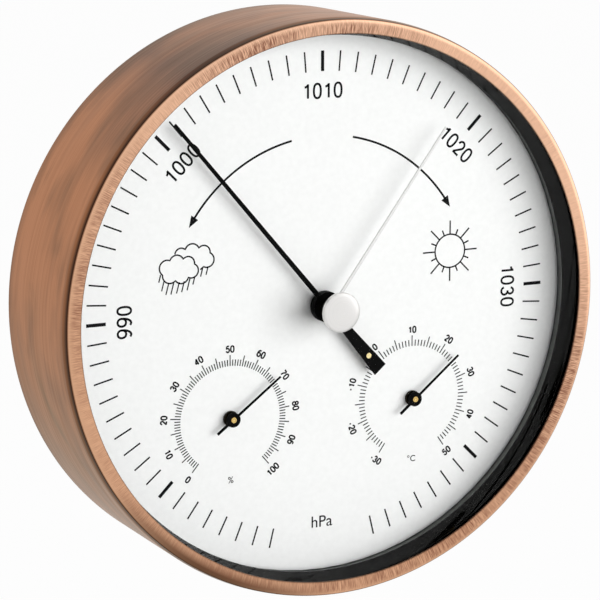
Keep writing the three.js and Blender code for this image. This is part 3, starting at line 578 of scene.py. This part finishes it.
# the ring's cone mirrors the marks of the dial at the top, and plain white at the right
ringSet = {"outer": 64.9, "inner": 62.4, "back": 28.8, "front": 33.2,
           "mouth": 63.25, "nose": 61.6, "noseBack": 29.4, "noseFront": 29.75}
carrierSet = {"outer": 64.9, "wall": 1.5, "inner": 62.4, "ledge": 5.4, "back": 3.3, "front": 28.5,
              "ledgeFront": 25.8}


def buildRings():
    s = ringSet
    profile = rounded([
        (s["inner"], s["back"], 0.2), (s["outer"], s["back"], 0.3), (s["outer"], s["front"], 0.3),
        (s["mouth"], s["front"], 0.15), (s["nose"], s["noseFront"], 0.1),
        (s["nose"], s["noseBack"], 0.1), (s["inner"], s["noseBack"], 0.2)], steps=6, support=0.04)
    turned("glazing_ring", profile, glossBlack, "root", ["spacer_ring"])
    s = carrierSet
    wall = s["outer"] - s["wall"]
    ledgeInner = s["inner"] - s["ledge"]
    ledgeBack = s["ledgeFront"] - s["wall"]
    profile = rounded([
        (wall, s["back"], 0.2), (s["outer"], s["back"], 0.2), (s["outer"], s["front"], 0.3),
        (s["inner"], s["front"], 0.35), (s["inner"], s["ledgeFront"], 0.1),
        (ledgeInner, s["ledgeFront"], 0.2), (ledgeInner, ledgeBack, 0.2), (wall, ledgeBack, 0.3)],
        steps=6)
    turned("carrier_ring", profile, carrierPlastic, "root", ["dial_carrier"])


buildCase()
buildRings()
print("case and rings turned")


# Print on the dial: closed films of ink a few hundredths thick
printSet = {
    "face": 26.7, "gap": 0.005, "film": 0.03, "x": -0.10, "z": 0.39,
    "tickInner": 52.9, "tickOuter": 57.5, "thin": 0.36, "thick": 0.78,
    "perUnit": 4.5, "span": 37, "middle": 1010, "labels": (990, 1000, 1010, 1020, 1030),
    "labelRadius": 48.5, "labelHeight": 3.7, "labelLine": 0.5,
    "arrowRadius": 38.4, "arrowFrom": 11.5, "arrowTo": 55.6, "arrowTip": 58.9, "arrowLap": 0.6,
    "arrowLine": 0.48, "arrowHead": 2.0, "arrowSteps": 40,
    "sun": (33.0, 9.5), "sunRadius": 3.9, "sunSteps": 72, "rays": 16, "rayInner": 3.9,
    "rayLong": 7.1, "rayShort": 5.3, "line": 0.34, "rainLine": 0.289,
    "gaugeInner": 12.3, "gaugeShort": 13.75, "gaugeLong": 14.8, "gaugeLine": 0.24,
    "gaugeLabel": 16.4, "gaugeHeight": 1.75, "gaugeDrop": 0.25, "gaugeLabelLine": 0.36,
}
inkBack = printSet["face"] + printSet["gap"]
inkFront = inkBack + printSet["film"]
gaugeScales = {
    # drop, first and last unit, degrees a unit, figures set the other way up
    "humidity": (0.2, 0, 100, 2.8, ("0", "10", "90", "100")),
    "temperature": (0.0, -30, 50, 3.63, ("-30", "-20", "40", "50")),
}
unitSet = {
    # sign, x, z, height, weight added to the letters
    "humidity_unit": ("%", gaugeSet["humidity"][0], -38.3, 1.5, 0.006),
    "temperature_unit": ("°C", gaugeSet["temperature"][0], -38.5, 1.55, 0.006),
    "pressure_unit": ("hPa", printSet["x"], -50.8, 2.7, 0.002),
}


def bars(starts, ends, widths):
    # a closed film along each line from start to end: the line moved half a width to each side
    starts, ends = np.asarray(starts, float), np.asarray(ends, float)
    way = ends - starts
    way /= np.linalg.norm(way, axis=1)[:, None]
    side = np.stack([-way[:, 1], way[:, 0]], -1) * np.broadcast_to(widths, len(starts))[:, None] / 2
    outline = np.stack([starts - side, ends - side, ends + side, starts + side], 1)
    points = np.empty((len(starts), 2, 4, 3))
    points[..., 0] = outline[:, None, :, 0]
    points[..., 1] = np.array([[inkBack], [inkFront]])
    points[..., 2] = outline[:, None, :, 1]
    block = np.array([[0, 1, 2, 3], [4, 5, 6, 7], [0, 1, 5, 4], [1, 2, 6, 5], [2, 3, 7, 6],
                      [3, 0, 4, 7]])
    faces = (np.arange(len(starts))[:, None, None] * 8 + block).reshape(-1, 4)
    return points.reshape(-1, 3), faces


def strip(path, width, loop):
    # an oblong section carried along a flat path: each point moved half a width along its normal
    path = np.asarray(path, float)
    if loop:
        way = np.roll(path, -1, 0) - np.roll(path, 1, 0)
    else:
        way = np.gradient(path, axis=0)
    way /= np.linalg.norm(way, axis=1)[:, None]
    side = np.stack([-way[:, 1], way[:, 0]], -1) * width / 2
    section = np.stack([path - side, path - side, path + side, path + side], 1)
    depths = np.broadcast_to([inkBack, inkFront, inkFront, inkBack], section.shape[:2])
    points = np.stack([section[..., 0], depths, section[..., 1]], -1)
    faces = gridFaces(len(path), 4, loop)[0]
    if not loop:
        ends = np.array([[0], [4 * (len(path) - 1)]]) + np.arange(4)
        faces = np.concatenate([faces, ends])
    return points.reshape(-1, 3), faces


def inkPiece(name, points, faces, x=0.0, z=0.0):  # films of ink, moved across the dial by (x, z)
    points = np.asarray(points, float) + (x, 0, z)
    makePiece(name, points, faces, printInk, "root", smooth=False)


def buildScale():
    s = printSet
    unit = np.arange(-s["span"], s["span"] + 1)
    angle = unit * s["perUnit"]
    width = np.where(unit % 10 == 0, s["thick"], s["thin"])
    inner, outer = dialPlace(s["tickInner"], angle), dialPlace(s["tickOuter"], angle)
    inkPiece("pressure_scale", *bars(inner, outer, width), s["x"], s["z"])


def buildGaugeScale(name):  # the marks of a small gauge; gives rows for its figures
    s = printSet
    drop, first, last, perUnit, flipped = gaugeScales[name]
    x, z = gaugeSet[name][0], gaugeSet[name][1] - drop
    middle = (first + last) / 2
    unit = np.arange(first, last + 1)
    angle = (unit - middle) * perUnit
    long = np.where(unit % 5 == 0, s["gaugeLong"], s["gaugeShort"])
    inner, outer = dialPlace(s["gaugeInner"], angle), dialPlace(long, angle)
    inkPiece(name + "_scale", *bars(inner, outer, s["gaugeLine"]), x, z)
    labels = [(str(tens), (tens - middle) * perUnit) for tens in range(first, last + 1, 10)]
    return ringLabels(labels, s["gaugeLabel"], x, z - s["gaugeDrop"], flipped)


def buildArrows():
    s = printSet
    parts = []
    for hand in (-1, 1):
        angle = np.linspace(s["arrowFrom"], s["arrowTo"], s["arrowSteps"]) * hand
        path = dialPlace(s["arrowRadius"], angle)
        parts.append(strip(path, s["arrowLine"], False))
        foot = hand * (s["arrowTo"] - s["arrowLap"])
        tip = dialPlace(s["arrowRadius"], hand * s["arrowTip"])
        corners = np.stack([dialPlace(s["arrowRadius"] - s["arrowHead"] / 2, foot), tip,
                            dialPlace(s["arrowRadius"] + s["arrowHead"] / 2, foot)])
        depth = np.repeat([inkBack, inkFront], 3)
        head = np.stack([np.tile(corners[:, 0], 2), depth, np.tile(corners[:, 1], 2)], -1)
        parts.append((head, [[0, 1, 2], [3, 4, 5]], [[0, 1, 4, 3], [1, 2, 5, 4], [2, 0, 3, 5]]))
    inkPiece("weather_arrows", *joinedParts(parts), s["x"], s["z"])


def buildSun():
    s = printSet
    centre = np.array(s["sun"])
    ring = centre + dialPlace(s["sunRadius"], np.arange(s["sunSteps"]) * 360 / s["sunSteps"])
    ray = np.arange(s["rays"])
    angle = ray * 360 / s["rays"]
    long = np.where(ray % 2 == 0, s["rayLong"], s["rayShort"])
    inner, outer = centre + dialPlace(s["rayInner"], angle), centre + dialPlace(long, angle)
    parts = [strip(ring, s["line"], True), bars(inner, outer, s["line"])]
    inkPiece("sun_sign", *joinedParts(parts), s["x"], s["z"])


cloudSet = {
    # corners between the lobes, clockwise, and the half angle of the lobe that starts at each
    "front": ([(-37.5, 12.9), (-34.3, 13.0), (-31.6, 11.7), (-33.1, 8.8), (-36.2, 8.3),
               (-39.3, 9.8)], [67, 72, 92, 66, 70, 84]),
    "rear": ([(-36.3, 14.2), (-33.8, 15.1), (-30.5, 15.2), (-27.8, 13.9), (-29.4, 10.9),
              (-30.2, 10.3)], [62, 68, 72, 92, 6]),
    # top of each line of rain and how far it falls
    "rain": [(-39.75, 9.9, 1.7), (-38.9, 8.6, 2.4), (-37.8, 8.0, 2.7), (-36.6, 8.0, 2.7),
             (-35.3, 7.9, 2.5), (-34.1, 8.0, 2.4), (-32.7, 8.6, 2.7), (-31.5, 9.0, 1.9),
             (-29.6, 10.7, 2.0), (-28.3, 10.9, 1.9)],
    "slant": 0.27, "lobeSteps": 14,
}


def lobes(corners, halfAngles, close):
    # arcs of circles from corner to corner, bulging outwards: each centre lies behind its chord
    corners = np.asarray(corners, float)
    ends = np.roll(corners, -1, 0)
    if not close:
        corners, ends = corners[:-1], ends[:-1]
    half = np.radians(np.asarray(halfAngles, float))
    chord = ends - corners
    length = np.linalg.norm(chord, axis=1)
    along = chord / length[:, None]
    out = np.stack([-along[:, 1], along[:, 0]], -1)
    radius = length / 2 / np.sin(half)
    centre = (corners + ends) / 2 - out * (radius * np.cos(half))[:, None]
    turn = np.linspace(-1, 1, cloudSet["lobeSteps"], endpoint=False) * half[:, None]
    path = centre[:, None] + radius[:, None, None] * (np.cos(turn)[..., None] * out[:, None]
                                                      + np.sin(turn)[..., None] * along[:, None])
    path = path.reshape(-1, 2)
    return path if close else np.concatenate([path, ends[-1:]])


def buildClouds():
    s = printSet
    rain = np.array(cloudSet["rain"])
    starts = rain[:, :2]
    ends = starts - np.stack([rain[:, 2] * cloudSet["slant"], rain[:, 2]], -1)
    parts = [strip(lobes(*cloudSet["front"], True), s["line"], True),
             strip(lobes(*cloudSet["rear"], False), s["line"], False),
             bars(starts, ends, s["rainLine"])]
    inkPiece("rain_cloud_sign", *joinedParts(parts), s["x"], s["z"])


def oval(x, z, across, up, fromTurn, toTurn, steps=17):
    # part of an oval: angles in degrees from the right, anticlockwise
    a = np.radians(np.linspace(fromTurn, toTurn, steps))
    return np.stack([x + across * np.cos(a), z + up * np.sin(a)], -1)


def fullOval(x, z, across, up, squareness, steps=48):
    # a closed oval with fuller shoulders: cosine and sine raised to 2 / squareness
    a = np.arange(steps) * 2 * np.pi / steps
    c, s = np.cos(a), np.sin(a)
    return np.stack([x + across * np.sign(c) * abs(c) ** (2 / squareness),
                     z + up * np.sign(s) * abs(s) ** (2 / squareness)], -1)


def stroke(*places):  # an open stroke through places
    return np.array(places), False


def sixPaths():
    return [(fullOval(0.28, 0.31, 0.27, 0.31, 2.2), True),
            stroke(*oval(0.33, 0.36, 0.32, 0.64, 184, 62))]


# figures as strokes in a box one high and figureSet["width"] wide: (path, closed) for each stroke
figureSet = {"width": 0.56, "advance": 0.81, "minusAdvance": 0.62}
figurePaths = {
    "0": [(fullOval(0.28, 0.5, 0.27, 0.5, 2.4), True)],
    "1": [stroke((0.36, 0.0), (0.36, 1.0)), stroke(*oval(0.10, 1.0, 0.26, 0.21, -90, -4, 9))],
    "2": [stroke(*oval(0.28, 0.71, 0.25, 0.29, 178, -28), (0.03, 0.0)),
          stroke((0.0, 0.0), (0.55, 0.0))],
    "3": [stroke(*oval(0.27, 0.755, 0.23, 0.245, 170, -84)),
          stroke(*oval(0.27, 0.265, 0.27, 0.265, 96, -170))],
    "4": [stroke((0.42, 0.0), (0.42, 1.0)), stroke((0.42, 1.0), (0.0, 0.27)),
          stroke((0.0, 0.27), (0.57, 0.27))],
    "5": [stroke((0.11, 1.0), (0.51, 1.0)), stroke((0.11, 1.0), (0.05, 0.5)),
          stroke(*oval(0.27, 0.325, 0.27, 0.325, 144, -165))],
    "6": sixPaths(),
    "7": [stroke((0.02, 1.0), (0.55, 1.0)),
          stroke((0.55, 1.0), *oval(0.66, 0.0, 0.46, 0.8, 108, 180, 9))],
    "8": [(fullOval(0.28, 0.755, 0.23, 0.245, 2.1), True),
          (fullOval(0.28, 0.265, 0.27, 0.265, 2.1), True)],
    "9": [((figureSet["width"], 1.0) - path, closed) for path, closed in sixPaths()],
    "-": [stroke((0.15, 0.42), (0.41, 0.42))],
}


def figureStrokes(text, x, z, clockwise, height, line):
    # a number as closed strokes, its middle at (x, z): the strokes' paths are scaled so that the
    # outer edge of the ink is the height, set side by side and turned about the middle
    parts = []
    tall = height - line
    wide = np.array([figureSet["minusAdvance" if sign == "-" else "advance"] for sign in text])
    middles = np.cumsum(wide) - wide / 2 - wide.sum() / 2
    for sign, middle in zip(text, middles):
        for path, closed in figurePaths[sign]:
            placed = (path - (figureSet["width"] / 2 - middle, 0.5)) * tall
            points, faces = strip(placed, line, closed)
            parts.append((turnedAt(x, z, clockwise, points), faces))
    return parts


def buildNumbers(name, labels, height, line):
    parts = []
    for text, x, z, clockwise in labels:
        parts += figureStrokes(text, x, z, clockwise, height, line)
    inkPiece(name, *joinedParts(parts))


def buildLetters(name, text, x, z, height, weight):
    # unit letters from the built-in face: made a mesh, centred, scaled to the height, then placed
    curve = bpy.data.curves.new(name, "FONT")
    curve.body = text
    curve.offset = weight
    curve.extrude = 0.01  # tells back from front, which then take the film's depths
    holder = bpy.data.objects.new(name, curve)
    scene.collection.objects.link(holder)
    depsgraph = bpy.context.evaluated_depsgraph_get()
    mesh = bpy.data.meshes.new_from_object(holder.evaluated_get(depsgraph))
    bpy.data.objects.remove(holder)
    places = np.empty(len(mesh.vertices) * 3)
    mesh.vertices.foreach_get("co", places)
    places = places.reshape(-1, 3)
    low, high = places.min(0), places.max(0)
    places = (places - (low + high) / 2) / (high[1] - low[1]) * height
    layer = np.where(places[:, 2] > 0, inkFront, inkBack)
    placed = np.stack([x + places[:, 0], layer, z + places[:, 1]], -1) * (mm, -mm, mm)
    mesh.vertices.foreach_set("co", placed.ravel())
    finishMesh(name, mesh, printInk, "root", smooth=False)


def ringLabels(labels, radius, x, z, flipped=()):  # rows of text, place and turn round a scale
    rows = []
    for text, angle in labels:
        across, up = dialPlace(radius, angle)
        rows.append((text, x + across, z + up, angle + (180 if text in flipped else 0)))
    return rows


def buildPrint():
    s = printSet
    buildScale()
    small = buildGaugeScale("humidity") + buildGaugeScale("temperature")
    buildArrows()
    buildSun()
    buildClouds()
    main = [(str(unit), (unit - s["middle"]) * s["perUnit"]) for unit in s["labels"]]
    main = ringLabels(main, s["labelRadius"], s["x"], s["z"])
    buildNumbers("pressure_figures", main, s["labelHeight"], s["labelLine"])
    buildNumbers("gauge_figures", small, s["gaugeHeight"], s["gaugeLabelLine"])
    for name, row in unitSet.items():
        buildLetters(name, *row)


buildPrint()
print("dial printed")


# Pointers: an oblong section with broken edges carried along, its width set by the place
handSet = {
    "turn": -40.5, "tip": 57.4, "tipWidth": 0.8, "rootWidth": 1.2, "disc": 3.5, "tail": 20.7,
    "tailRoot": 1.6, "tailEnd": 3.6, "back": 29.1, "front": 29.52, "bevel": 0.07,
}
setHandSet = {
    "turn": 36.3, "tip": 49.0, "tipWidth": 0.5, "rootWidth": 0.8, "disc": 2.2, "tail": 2.2,
    "tailRoot": 0.8, "tailEnd": 0.8, "back": 31.1, "front": 31.4, "bevel": 0.05,
}
needleSet = {
    "turns": {"humidity": 53.1, "temperature": 50.5},
    "tip": 14.7, "tipWidth": 0.42, "rootWidth": 0.55, "disc": 1.7, "tail": 4.9,
    "tailRoot": 0.6, "tailEnd": 0.6, "back": 28.2, "front": 28.6, "bevel": 0.06,
}
bladeSteps, discSteps = 60, 65  # rows along a pointer and round its disc


def pointerMesh(s):
    # half width = the larger of the disc's circle and the straight taper of the blade or the tail
    up = np.unique(np.concatenate([np.linspace(-s["tail"], s["tip"], bladeSteps),
                                   -s["disc"] * np.cos(np.linspace(0, np.pi, discSteps))]))
    blade = np.where(up >= 0, np.interp(up, [0, s["tip"]], [s["rootWidth"], s["tipWidth"]]),
                     np.interp(up, [-s["tail"], 0], [s["tailEnd"], s["tailRoot"]])) / 2
    half = np.maximum(np.sqrt(np.clip(s["disc"] ** 2 - up ** 2, 0, None)), blade)[:, None]
    b, f, bevel = s["back"], s["front"], s["bevel"]
    across = half * [-1, -1, -1, 1, 1, 1, 1, -1] + bevel * np.array([0, 0, 1, -1, 0, 0, -1, 1])
    depth = np.broadcast_to([b + bevel, f - bevel, f, f, f - bevel, b + bevel, b, b],
                            across.shape)
    points = np.stack([across, depth, np.broadcast_to(up[:, None], across.shape)], -1)
    faces = gridFaces(len(up), 8, False)[0].tolist()
    last = 8 * (len(up) - 1)
    faces += [list(range(8)), list(range(last, last + 8))]
    return points.reshape(-1, 3), faces


def buildPointers():
    points, faces = pointerMesh(handSet)
    makePiece("pressure_blade", turnedAt(0, 0, handSet["turn"], points), faces, pointerLacquer,
              "pressure_hand", ["pressure_pointer"])
    points, faces = pointerMesh(setHandSet)
    makePiece("set_blade", turnedAt(0, 0, setHandSet["turn"], points), faces, silverLacquer,
              "set_hand", ["set_pointer"])
    points, faces = pointerMesh(needleSet)
    for name, (x, z) in gaugeSet.items():
        placed = turnedAt(x, z, needleSet["turns"][name], points)
        makePiece(name + "_needle", placed, faces, pointerLacquer, name + "_hand",
                  [name + "_pointer"])


hubSet = {
    "chamfer": 0.1,
    "bushBore": 0.95, "bushRadius": 3.5, "bushBack": 27.3, "bushFront": 28.8, "bushFillet": 0.2,
    "rivetRadius": 0.65, "rivetPlace": 16.1, "rivetBack": 28.95, "rivetFront": 29.65,
    "rivetDome": 0.12,
    "knobRadius": 4.55, "knobBack": 35.8, "knobEdge": 0.7, "knobDome": 1.3, "knobChamfer": 0.15,
    "knobBore": 1.35, "knobBoreGap": 0.15,
    "spindleRadius": 1.2, "spindleHead": 1.7, "spindleBack": 30.65, "spindleShoulder": 30.95,
    "spindleEnd": 37.15,
    "washerInner": 1.5, "washerOuter": 3.3, "washerBack": 31.7, "washerFront": 33.2, "washer": 0.3,
    "pinRadius": 0.68, "pinFront": 28.8, "pinChamfer": 0.08,
    "dimple": 0.3, "dimpleFloor": 0.22, "dimpleDepth": 0.06,
    "collet": 1.5, "coilBack": 18.7, "coilFront": 22.7,
    "collarRadius": 1.8, "collarBore": 0.98, "collarBack": 27.0, "collarFront": 27.4,
    "tubeRadius": 1.5, "tubeBack": 23.3,
}


def domed(radius, edge, rise, steps=14):  # quarter ellipse from the edge to the axis
    t = np.linspace(0, np.pi / 2, steps)
    return np.stack([radius * np.cos(t), edge + rise * np.sin(t)], -1)


def buildHub():
    s = hubSet
    cut = s["chamfer"]
    profile = rounded([
        (s["bushBore"], s["bushBack"], cut), (s["bushRadius"], s["bushBack"], s["bushFillet"]),
        (s["bushRadius"], s["bushFront"], s["bushFillet"]), (s["bushBore"], s["bushFront"], cut)],
        steps=5)
    turned("hub_bush", profile, pointerLacquer, "pressure_hand", ["pointer_bush"],
           cols=96)
    x, z = dialPlace(-s["rivetPlace"], handSet["turn"])
    profile = np.concatenate([
        [(0, s["rivetBack"]), (s["rivetRadius"], s["rivetBack"])],
        domed(s["rivetRadius"], s["rivetFront"] - s["rivetDome"], s["rivetDome"], 8)])
    turned("tail_stud", profile, rivetBrass, "pressure_hand", ["tail_rivet"], x, z,
           cols=40, ring=False)
    boreEnd = s["spindleEnd"] + s["knobBoreGap"]
    profile = np.concatenate([
        [(0, boreEnd), (s["knobBore"], boreEnd), (s["knobBore"], s["knobBack"]),
         (s["knobRadius"] - s["knobChamfer"], s["knobBack"]),
         (s["knobRadius"], s["knobBack"] + s["knobChamfer"])],
        domed(s["knobRadius"], s["knobBack"] + s["knobEdge"], s["knobDome"], 24)])
    turned("knob_cap", profile, silver, "set_hand", ["set_knob"], cols=128,
           ring=False)
    profile = np.array([
        (0, s["spindleBack"]), (s["spindleHead"] - cut, s["spindleBack"]),
        (s["spindleHead"], s["spindleBack"] + cut), (s["spindleHead"], s["spindleShoulder"]),
        (s["spindleRadius"], s["spindleShoulder"]), (s["spindleRadius"], s["spindleEnd"]),
        (0, s["spindleEnd"])])
    turned("knob_spindle", profile, brass["centre"], "set_hand", ["set_spindle"],
           cols=64, ring=False)
    profile = np.array([
        (s["washerInner"], s["washerBack"]), (s["washerOuter"], s["washerFront"] - s["washer"]),
        (s["washerOuter"], s["washerFront"]), (s["washerInner"], s["washerBack"] + s["washer"])])
    # the washer in painted shade, under the knob
    turned("dished_washer", profile, shadedBrass, "set_hand", ["spring_washer"],
           cols=64)
    r, front = s["pinRadius"], s["pinFront"]
    pin = np.array([
        (0, s["coilBack"]), (s["collet"], s["coilBack"]), (s["collet"], s["coilFront"]),
        (r, s["coilFront"]), (r, front - s["pinChamfer"]), (r - s["pinChamfer"], front),
        (s["dimple"], front), (s["dimpleFloor"], front - s["dimpleDepth"]),
        (0, front - 2 * s["dimpleDepth"])])
    collar = np.array([
        (s["collarBore"], s["tubeBack"]), (s["tubeRadius"], s["tubeBack"]),
        (s["tubeRadius"], s["collarBack"]), (s["collarRadius"], s["collarBack"]),
        (s["collarRadius"], s["collarFront"] - cut), (s["collarRadius"] - cut, s["collarFront"]),
        (s["collarBore"], s["collarFront"])])
    for name, (x, z) in gaugeSet.items():
        turned(name + "_pin", pin, brass[name], name + "_hand", [name + "_arbor"],
               x, z, cols=48, ring=False)
        # the collar in painted shade, under the needle's disc
        turned(name + "_collar", collar, shadedBrass, "root", [name + "_bush"],
               x, z, cols=48)


buildPointers()
buildHub()
print("pointers and hubs made")


# Back: the moulded cover and its screws as merged copies with broken edges
backSet = {
    # finish, slot, body and width of the broken edge
    "rear_cover": (mouldedBlack, "moulded_black", "root", 0.25),
    "regulating_screw": (sheetBrass, "bright_brass", "regulator", 0.12),
    **{"movement_screw_%d" % k: (zincSteel, "zinc_steel", "root", 0.12) for k in (1, 2, 3)},
}
bevelAngle = 40  # degrees between faces, from which an edge is broken


def buildBack():
    for node, (material, slot, body, edge) in backSet.items():
        name = node + "_finished"
        mesh = nodes[node].data.copy()
        mesh.name = name
        obj = finishMesh(name, mesh, material, body, [node], smooth=False)
        bevel = obj.modifiers.new("brokenEdge", "BEVEL")
        bevel.width = edge * mm
        bevel.segments = 2
        bevel.limit_method = "ANGLE"
        bevel.angle_limit = math.radians(bevelAngle)


buildBack()
print("back finished")


# Carried-over solids: what stays as packed and only takes a finish, found by a word in its name
keptSet = {
    "glass": glass, "dial": dialEnamel,
    "bridge": sheetBrass, "sector_gear": sheetBrass, "pillar": sheetBrass,
    "capsule_lower": springBronze, "capsule_upper": springBronze,
    "hairspring": springBronze, "coil": springBronze,
}


def dressKept():
    for name, obj in nodes.items():
        match = [material for key, material in keptSet.items()
                 if key in name and "screw" not in name]
        obj.data.materials.clear()
        obj.data.materials.append(match[0] if match else zincSteel)


dressKept()
print("kept solids dressed")
